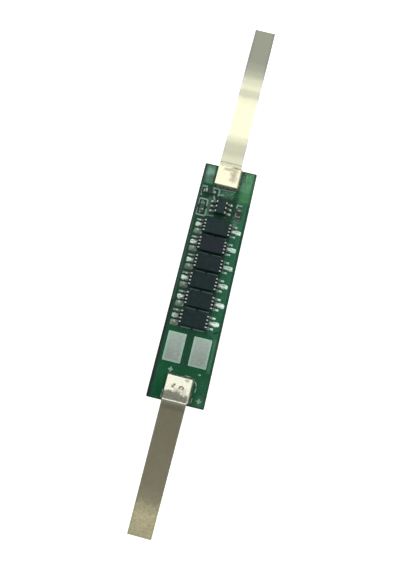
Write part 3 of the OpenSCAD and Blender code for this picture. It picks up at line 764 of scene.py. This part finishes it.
def fluxed_finish(name, looks, glint, leads=False):
    """Solder dark with flux, with small painted glints and, if asked, a brighter painted spot where a chip
    lead ends.
    """
    f = Finish(name, metallic=0.6)
    ripple = f.noise(2.4, 4, 0.65, 0.6)
    # Painted glints: where this is high, the solder colour is drawn bright.
    shade = ripple.rise(0.45, 0.75) * f.z.rise(TOP + 0.04, TOP + 0.14) * glint
    if leads:
        row = (f.y - CHIP.y).wrapped(CHIP_PITCH).size_within(0.26)
        ends = (abs(f.x - CHIP.x) - CHIP_FOOT_ENDS).size_within(0.26)
        shade = shade + row * ends * 0.55
    return f.done(base_color=f.blend(shade.clamped(), Vector(looks.dull_solder) * 0.24, looks.solder),
                  roughness=0.26 + ripple * 0.2, normal=f.bump(ripple, 0.04))


def pad_finish(name, looks):
    """Matt tinned copper with scuffs, a rim of thicker tin, and painted light that brightens it towards the
    minus end.
    """
    f = Finish(name, metallic=0.35)
    cloud = f.noise(0.7, 4, 0.6, 0.5)
    scuff = f.noise(3.2, 5, 0.7, 0.3, (0.8, 1.3, 1.0))
    inner = sum(f.area((low.x + 0.3, low.y + 0.25), (high.x - 0.3, high.y - 0.25), 0.28,
                       (scuff - 0.5) * 0.4) for low, high in map(box_mm, PADS))
    # Painted light: the pads grow lighter towards the minus end of the board.
    slope = f.y.rise(PADS_Y - 3.2, PADS_Y + 3.8)
    pad, rim = Vector(looks.pad), Vector(looks.pad_rim)
    tone = f.layered(
        f.blend(slope, rim * 0.85, rim * 1.1),
        (inner * (0.7 + cloud * 0.6), f.blend(slope, pad * 0.70, pad * 1.12)),
        (scuff.rise(0.5, 1.0) * 0.55, pad * 1.5),
        (scuff.fall(0.0, 0.5) * 0.35, pad * 0.5))
    return f.done(base_color=tone, roughness=0.42 + scuff * 0.2,
                  normal=f.bump(scuff * 0.6 + cloud * 0.4, 0.02))


def mould_finish(name, looks):
    """Matt moulding compound with a fine grain, bluer patches and a few glassy filler specks."""
    f = Finish(name, specular_ior_level=0.15)
    grit = f.noise(16.0, 3, 0.6)
    cloud = f.noise(0.23, 2, 0.5)
    bruise = f.noise(1.3, 3, 0.6)
    speck = f.noise(30.0, 1, 0.5).rise(0.68, 0.8)
    second = (f.y - ROW_TOP + ROW_PITCH).size_within(ROW_PITCH * 0.58)
    # Paler moulding towards the board's minus end: the upper half of the first package, and the chip a little
    # more.
    paler_top_end = f.y.rise(ROW_TOP - 1.6, ROW_TOP - 1.4) * 0.12 + f.y.rise(ROW_TOP + 1.7, ROW_TOP + 2.0) * 0.10
    tone = f.layered(
        looks.mould,
        ((cloud.rise(0.5, 0.9) * 0.35 + second * 0.75).clamped(), looks.mould_aged),
        ((bruise.rise(0.5, 0.75) * 0.3 + speck * 0.3).clamped(), Vector(looks.mould_aged) * 1.7),
        (paler_top_end, looks.mould_pale))
    return f.done(base_color=tone, roughness=0.5 + grit * 0.25, normal=f.bump(grit, 0.008, 0.05))


def lead_finish(name, looks, shoulder, reach):
    """Tinned leads: a painted highlight on the shoulder at the package, painted shade and flux on the slope,
    a little lighter at the foot.
    """
    f = Finish(name, metallic=0.9)
    blotch = f.noise(5.0, 4, 0.6, 0.3)
    # Painted light: bright on the shoulder, dark on the slope below it, with blotches of flux.
    clean_and_lit = (f.z + (blotch - 0.5) * 0.05).rise(shoulder - reach, shoulder - reach / 7)
    foot = f.z.fall(TOP + 0.12, TOP + 0.26) * 0.28
    shade = (clean_and_lit * (0.6 + blotch * 0.5) + foot + blotch.rise(0.6, 1.0) * 0.1).clamped()
    return f.done(base_color=f.blend(shade, looks.dull_tin_and_shade, looks.tin), roughness=0.3 + blotch * 0.2,
                  normal=f.bump(blotch, 0.01, 0.02))


def tin_finish(name, looks):
    """Matt tin plating with soft blotches and flux at its foot."""
    f = Finish(name, metallic=0.8)
    blotch = f.noise(3.0, 4, 0.6, 0.3)
    shade = blotch.rise(0.35, 0.8) * f.z.rise(TOP + 0.3, TOP + 0.5)
    return f.done(base_color=f.blend(shade * 0.6 + 0.1, looks.dull_tin_and_shade, looks.tin),
                  roughness=0.28 + blotch * 0.2, normal=f.bump(blotch, 0.01, 0.02))


def fired_finish(name, tone, gloss, speckle):
    """Fired ceramic or glass with a little speckle."""
    f = Finish(name, roughness=gloss, specular_ior_level=0.35)
    speck = f.noise(14.0, 3, 0.6)
    shade = f.blend(speck.rise(0.5, 0.75) * speckle, tone, Vector(tone) * 1.8)
    return f.done(base_color=shade, roughness=gloss + speck * 0.12, normal=f.bump(speck, 0.006, 0.03))


def tented_finish(name, looks):
    """Mask stretched over a plated ring, with a dark well."""
    f = Finish(name, specular_ior_level=0.2)
    fine = f.noise(6.0, 3, 0.6)
    high = f.z.rise(TOP + 0.008, TOP + 0.022)
    tone = f.blend((high * (0.6 + fine * 0.5)).clamped(), Vector(looks.deep) * 0.4, Vector(looks.haze_and_sheen) * 0.45)
    return f.done(base_color=tone, roughness=0.3 + fine * 0.2, normal=f.bump(fine, 0.006))


def ink_finish(name, looks):
    """Thin printed ink that lets the mask show through where it is worn."""
    f = Finish(name, roughness=0.6, specular_ior_level=0.2)
    wear = f.noise(3.4, 4, 0.7)
    in_row = f.area((-2.4, ROW_LOW - 0.5), (2.4, ROW_TOP), 0.1)
    tone = f.layered(looks.print, (wear * 0.7, Vector(looks.print) * 0.4), (in_row * 0.9, looks.grey_print))
    return f.done(base_color=tone, roughness=0.5 + wear * 0.2, normal=f.bump(wear, 0.006))


# ---- Operators ----

class BOARD_OT_laminate(Operator):
    """Gives the laminate its solder mask and lays masked copper relief on it"""
    bl_idname = "board.laminate"
    bl_label = "Board and copper"

    def execute(self, context):
        mask = solder_mask("solder_mask", context.scene.mask_looks)
        paint("circuit_board", mask)
        rise, bevel, trace_w = 0.035, 0.03, 0.16
        pours = [  # centre, width, length and corner radius
            ((-4.78, 0.0), 0.36, 2 * (HALF_L - 0.25), 0.1),
            ((4.2, 2.9), 0.95, 25.6, 0.2),
            ((-3.75, HALF_L - 2.15), 1.75, 3.7, 0.15),
            ((3.55, HALF_L - 3.0), 2.1, 5.4, 0.25),
            ((-3.6, 3.4 - HALF_L), 1.9, 5.6, 0.25),
            ((4.4, PADS_Y), 0.55, 5.6, 0.15),
        ]
        relief = bmesh.new()
        for pour in pours:
            add_plate(relief, rounded_rectangle(*pour), TOP - SUNK, TOP + rise, bevel)
        make_piece("copper_relief", relief, mask, crease_angle=50)
        routes = [  # a place, and points drawn from it
            (Vector((0.0, PADS_Y)), (1.9, 2.95), (4.0, 3.95), (4.55, 4.2)),
            (CHIP, (1.8, 1.5), (2.4, 2.1), (2.5, 3.5)),
            (CHIP, (-2.4, 1.6), (-2.7, 1.9), (-2.7, 3.8)),
            (CHIP, (2.1, 0.0), (2.7, 0.0), (3.1, 0.4)),
            (CHIP, (-2.3, -1.9), (-1.1, -1.7), (1.1, -1.6)),
        ]
        traces = bmesh.new()
        for anchor, *points in routes:
            add_stroke(traces, anchor, points, trace_w, TOP - SUNK, TOP + rise)
        make_piece("copper_traces", traces, mask, crease_angle=50)
        return {"FINISHED"}


class BOARD_OT_vias(Operator):
    """Sets small plated holes, each a ring with a dark well"""
    bl_idname = "board.vias"
    bl_label = "Plated holes"

    def execute(self, context):
        outer, inner, rise = 0.2, 0.1, 0.03
        by_pads = [(4.35, 0.8), (4.45, -0.6), (4.4, -1.8)]
        by_block = [(3.3, 1.75), (2.9, 2.1), (4.0, 1.4), (3.6, 3.6), (-4.1, 1.2), (-4.1, 2.0), (-2.7, 3.95)]
        places = [(x, PADS_Y + y) for x, y in by_pads]
        places += [(x, HALF_L - y) for x, y in by_block]
        places.append((2.5, CHIP.y - 1.2))
        rings = bmesh.new()
        for centre in places:
            add_via(rings, centre, outer, inner, rise)
        make_piece("plated_holes", rings, tented_finish("tented_copper", context.scene.mask_looks))
        return {"FINISHED"}


def printed_lines(wide):
    """Places that printed lines are drawn from, each with its lines: a width, then points."""
    yield middle("supply_resistor_body"), [
        (wide, (-0.75, 0.9), (-1.58, 0.9), (-1.73, 0.65), (-1.73, -0.75), (-1.48, -0.97)),
        (wide, (0.5, 0.9), (1.62, 0.9), (1.77, 0.65), (1.77, -0.45))]
    yield middle("supply_capacitor_body"), [
        (wide, (0.77, 0.55), (0.77, 1.55), (0.57, 1.77), (-0.63, 1.77), (-0.88, 1.55), (-0.88, 0.55)),
        (wide, (-0.88, -0.25), (-0.88, -1.35), (-0.63, -1.55), (0.72, -1.55), (0.92, -1.35),
         (0.87, -0.25))]
    yield middle("sense_resistor_body"), [
        (wide, (-0.63, 1.3), (-0.53, 1.85), (0.67, 1.85), (0.82, 1.6), (0.82, 0.9)),
        (wide, (-0.53, 0.1), (-0.48, -0.5), (-0.23, -0.65)),
        (wide, (0.77, 0.4), (0.77, -0.6))]
    yield CHIP, [
        (0.34, (-1.8, 2.05), (-1.55, 1.4)),
        (wide, (-2.4, -1.9), (-1.15, -1.8)),
        (0.14, (0.2, -1.6), (1.15, -1.65)),
        (0.14, (-0.8, 3.8), (2.0, 3.85)),
        (0.30, (-0.65, 2.65), (-0.1, 2.65))]
    yield Vector((0.0, -HALF_L)), [
        (0.30, (2.95, 5.55), (3.15, 5.55)),
        (0.20, (2.55, 4.25), (2.78, 4.0), (2.92, 3.6)),
        (0.16, (2.98, 3.2), (2.95, 2.75), (2.88, 2.5)),
        (0.14, (2.72, 1.4), (2.66, 0.7)),
        (0.22, (-2.55, 1.7), (-2.66, 1.2), (-2.6, 0.5)),
        (0.16, (0.7, 4.88), (1.5, 4.86), (1.8, 4.74))]
    for k in range(TRANSISTORS):
        yield middle(f"transistor_{k + 1}_body"), [
            (0.24, (-1.95, -1.74), (-0.3, -1.74)),
            (0.24, (0.35, -1.74), (2.1, -1.74))]


class BOARD_OT_print(Operator):
    """Draws the plain printed brackets, bands and polarity marks"""
    bl_idname = "board.print"
    bl_label = "Printed lines"

    def execute(self, context):
        sizes = context.scene.print_sizes
        high = TOP + sizes.thickness / MM
        bm = bmesh.new()
        for anchor, lines in printed_lines(sizes.width / MM):
            for width, *points in lines:
                add_stroke(bm, anchor, points, width, TOP, high)
        for centre in ((-2.1, 5.4 - HALF_L), (3.95, 1.2 - HALF_L)):
            add_plate(bm, cross(centre, reach=0.42, arm=0.14), TOP, high)
        make_piece("printed_lines", bm, ink_finish("print_ink", context.scene.mask_looks))
        return {"FINISHED"}


class BOARD_OT_pads(Operator):
    """Finishes the two tinned output pads"""
    bl_idname = "board.pads"
    bl_label = "Output pads"

    def execute(self, context):
        tinned = pad_finish("tinned_copper", context.scene.metal_looks)
        for node in PADS:
            paint(node, tinned)
        return {"FINISHED"}


class BOARD_OT_nickel(Operator):
    """Finishes the weld blocks, their solder and both nickel strips"""
    bl_idname = "board.nickel"
    bl_label = "Nickel strips"

    def execute(self, context):
        looks = context.scene.metal_looks
        paint("nickel_strip_plus", strip_plus_finish("nickel_plus", looks))
        paint("nickel_strip_minus", strip_minus_finish("nickel_minus", looks))
        block = block_finish("nickel_block", looks)
        # The weld solder is painted dark, partly as painted shade beside and below the blocks.
        rim = fluxed_finish("weld_solder", looks, glint=0.25)
        for end in ("plus", "minus"):
            paint(f"weld_block_{end}", block)
            paint(f"weld_solder_{end}", rim)
        return {"FINISHED"}


class BOARD_OT_heaps(Operator):
    """Builds the solder heaps that flood the middle leads of each transistor"""
    bl_idname = "board.heaps"
    bl_label = "Solder heaps"

    def execute(self, context):
        sizes = context.scene.solder_sizes
        bright = solder_finish("bright_solder", context.scene.metal_looks)
        sides = [("left", -1, 0.45, 0.0), ("right", 1, 0.55, 0.55)]
        for k in range(TRANSISTORS):
            for side, turn, neck, spread in sides:
                node = f"source_solder_{side}_{k + 1}"
                low, high = box_mm(node)
                centre, half = (low + high) / 2, (high - low) / 2
                bm = bmesh.new()
                add_heap(bm, centre, half.x, half.y, sizes.heap_rise / MM, low.z, neck, sizes.lead_ridge,
                         spread, turn, seed=k + 10.0 * turn)
                make_piece(f"solder_heap_{side}_{k + 1}", bm, bright, (node,))
        return {"FINISHED"}


class BOARD_OT_joints(Operator):
    """Finishes the small solder joints of the transistors, the chip and the chip parts"""
    bl_idname = "board.joints"
    bl_label = "Solder joints"

    def execute(self, context):
        looks = context.scene.metal_looks
        joint = solder_finish("joint_solder", looks, dullness=0.3, metallic=0.7, gate_flux=True)
        faint = fluxed_finish("fluxed_solder", looks, glint=0.5, leads=True)
        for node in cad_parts:
            if node.endswith("_solder"):
                paint(node, joint if node.startswith("transistor") else faint)
        return {"FINISHED"}


class BOARD_OT_packages(Operator):
    """Finishes the moulded packages and their leads"""
    bl_idname = "board.packages"
    bl_label = "Packages"

    def execute(self, context):
        mould = mould_finish("moulding_compound", context.scene.part_looks)
        rows = [("transistor_1", 0.07, [f"transistor_{k + 1}" for k in range(TRANSISTORS)]),
                ("protection_chip", 0.18, ["protection_chip"])]
        for first, reach, stems in rows:
            shoulder = box_mm(f"{first}_leads")[1].z
            tin = lead_finish(f"{first}_tin", context.scene.metal_looks, shoulder, reach)
            for stem in stems:
                paint(f"{stem}_body", mould)
                paint(f"{stem}_leads", tin)
        return {"FINISHED"}


class BOARD_OT_chip_parts(Operator):
    """Finishes the resistors and the capacitor"""
    bl_idname = "board.chip_parts"
    bl_label = "Resistors and capacitor"

    def execute(self, context):
        looks = context.scene.part_looks
        alumina = fired_finish("alumina", looks.ceramic, 0.5, 0.3)
        glass = fired_finish("resistor_glass", looks.coat, 0.3, 0.4)
        brown = fired_finish("capacitor_ceramic", looks.capacitor, 0.4, 0.6)
        caps = tin_finish("cap_tin", context.scene.metal_looks)
        for resistor in ("supply_resistor", "sense_resistor"):
            paint(f"{resistor}_body", alumina)
            paint(f"{resistor}_coat", glass)
            paint(f"{resistor}_caps", caps)
        paint("supply_capacitor_body", brown)
        paint("supply_capacitor_caps", caps)
        return {"FINISHED"}


class BOARD_OT_studio(Operator):
    """Sets the pale floor, the light tent and the camera"""
    bl_idname = "board.studio"
    bl_label = "Studio"

    def execute(self, context):
        scene = context.scene
        looks = scene.studio_looks
        scene.view_settings.view_transform = "Standard"
        self.make_floor(looks)
        self.make_tent(scene, looks)
        camera = bpy.data.objects.new("camera", bpy.data.cameras.new("camera"))
        camera.data.lens = looks.focal
        camera.data.clip_start = MM
        camera.location = looks.camera_place
        camera.rotation_euler = looks.camera_turn
        scene.collection.objects.link(camera)
        scene.camera = camera
        return {"FINISHED"}

    def make_floor(self, looks):
        """A wide pale sheet under the part, with a soft paper grain."""
        f = Finish("pale_floor", roughness=0.9, specular_ior_level=0.1)
        grain = f.noise(0.8, 2, 0.5)
        f.surface(emission_color=(1.0, 1.0, 1.0), emission_strength=looks.floor)
        paper = f.done(base_color=f.blend(grain, (0.90, 0.90, 0.90), (0.93, 0.93, 0.93)))
        half, z = 2.0, CAD_BOUNDS[0][2]
        mesh = bpy.data.meshes.new("floor")
        mesh.from_pydata([(-half, -half, z), (half, -half, z), (half, half, z), (-half, half, z)], [],
                         [(0, 1, 2, 3)])
        mesh.materials.append(paper)
        floor = bpy.data.objects.new("floor", mesh)
        bpy.context.scene.collection.objects.link(floor)

    def make_tent(self, scene, looks):
        """Soft light from all round, dimmer on the side where the tent is open."""
        world = bpy.data.worlds.new("light_tent")
        scene.world = world
        world.use_nodes = True
        sheet = NodeSheet(world.node_tree)
        background = world.node_tree.nodes["Background"]
        way = sheet.add("ShaderNodeTexCoord").outputs["Generated"]
        _, y, z = sheet.axes(way)
        open_side = (z * 0.62 - y * 0.78).rise(0.55, 0.92) * z.rise(0.30, 0.50)
        strength = looks.bright - open_side * (looks.bright - looks.dim)
        sheet.feed(background.inputs["Color"], (1.0, 1.0, 1.0))
        sheet.feed(background.inputs["Strength"], strength)


class BOARD_PT_panel(Panel):
    """Lists the settings and the steps of the board"""
    bl_label = "Battery management board"
    bl_idname = "BOARD_PT_panel"
    bl_space_type = "VIEW_3D"
    bl_region_type = "UI"
    bl_category = "Board"

    def draw(self, context):
        layout = self.layout
        for group in SETTINGS:
            box = layout.box()
            settings = getattr(context.scene, group)
            for name in settings.__annotations__:
                box.prop(settings, name)
        for operator in STEPS:
            layout.operator(operator.bl_idname)


SETTINGS = {
    "mask_looks": MaskLooks,
    "metal_looks": MetalLooks,
    "part_looks": PartLooks,
    "solder_sizes": SolderSizes,
    "print_sizes": PrintSizes,
    "studio_looks": StudioLooks,
}
STEPS = (BOARD_OT_studio, BOARD_OT_laminate, BOARD_OT_vias, BOARD_OT_print, BOARD_OT_pads, BOARD_OT_nickel,
         BOARD_OT_heaps, BOARD_OT_joints, BOARD_OT_packages, BOARD_OT_chip_parts)


def register():
    for cls in (*SETTINGS.values(), *STEPS, BOARD_PT_panel):
        bpy.utils.register_class(cls)
    for name, group in SETTINGS.items():
        setattr(bpy.types.Scene, name, PointerProperty(type=group))


def unregister():
    for name in SETTINGS:
        delattr(bpy.types.Scene, name)
    for cls in reversed((*SETTINGS.values(), *STEPS, BOARD_PT_panel)):
        bpy.utils.unregister_class(cls)


def main():
    register()
    for step in STEPS:
        group, name = step.bl_idname.split(".")
        getattr(getattr(bpy.ops, group), name)()


if __name__ == "__main__":
    main()
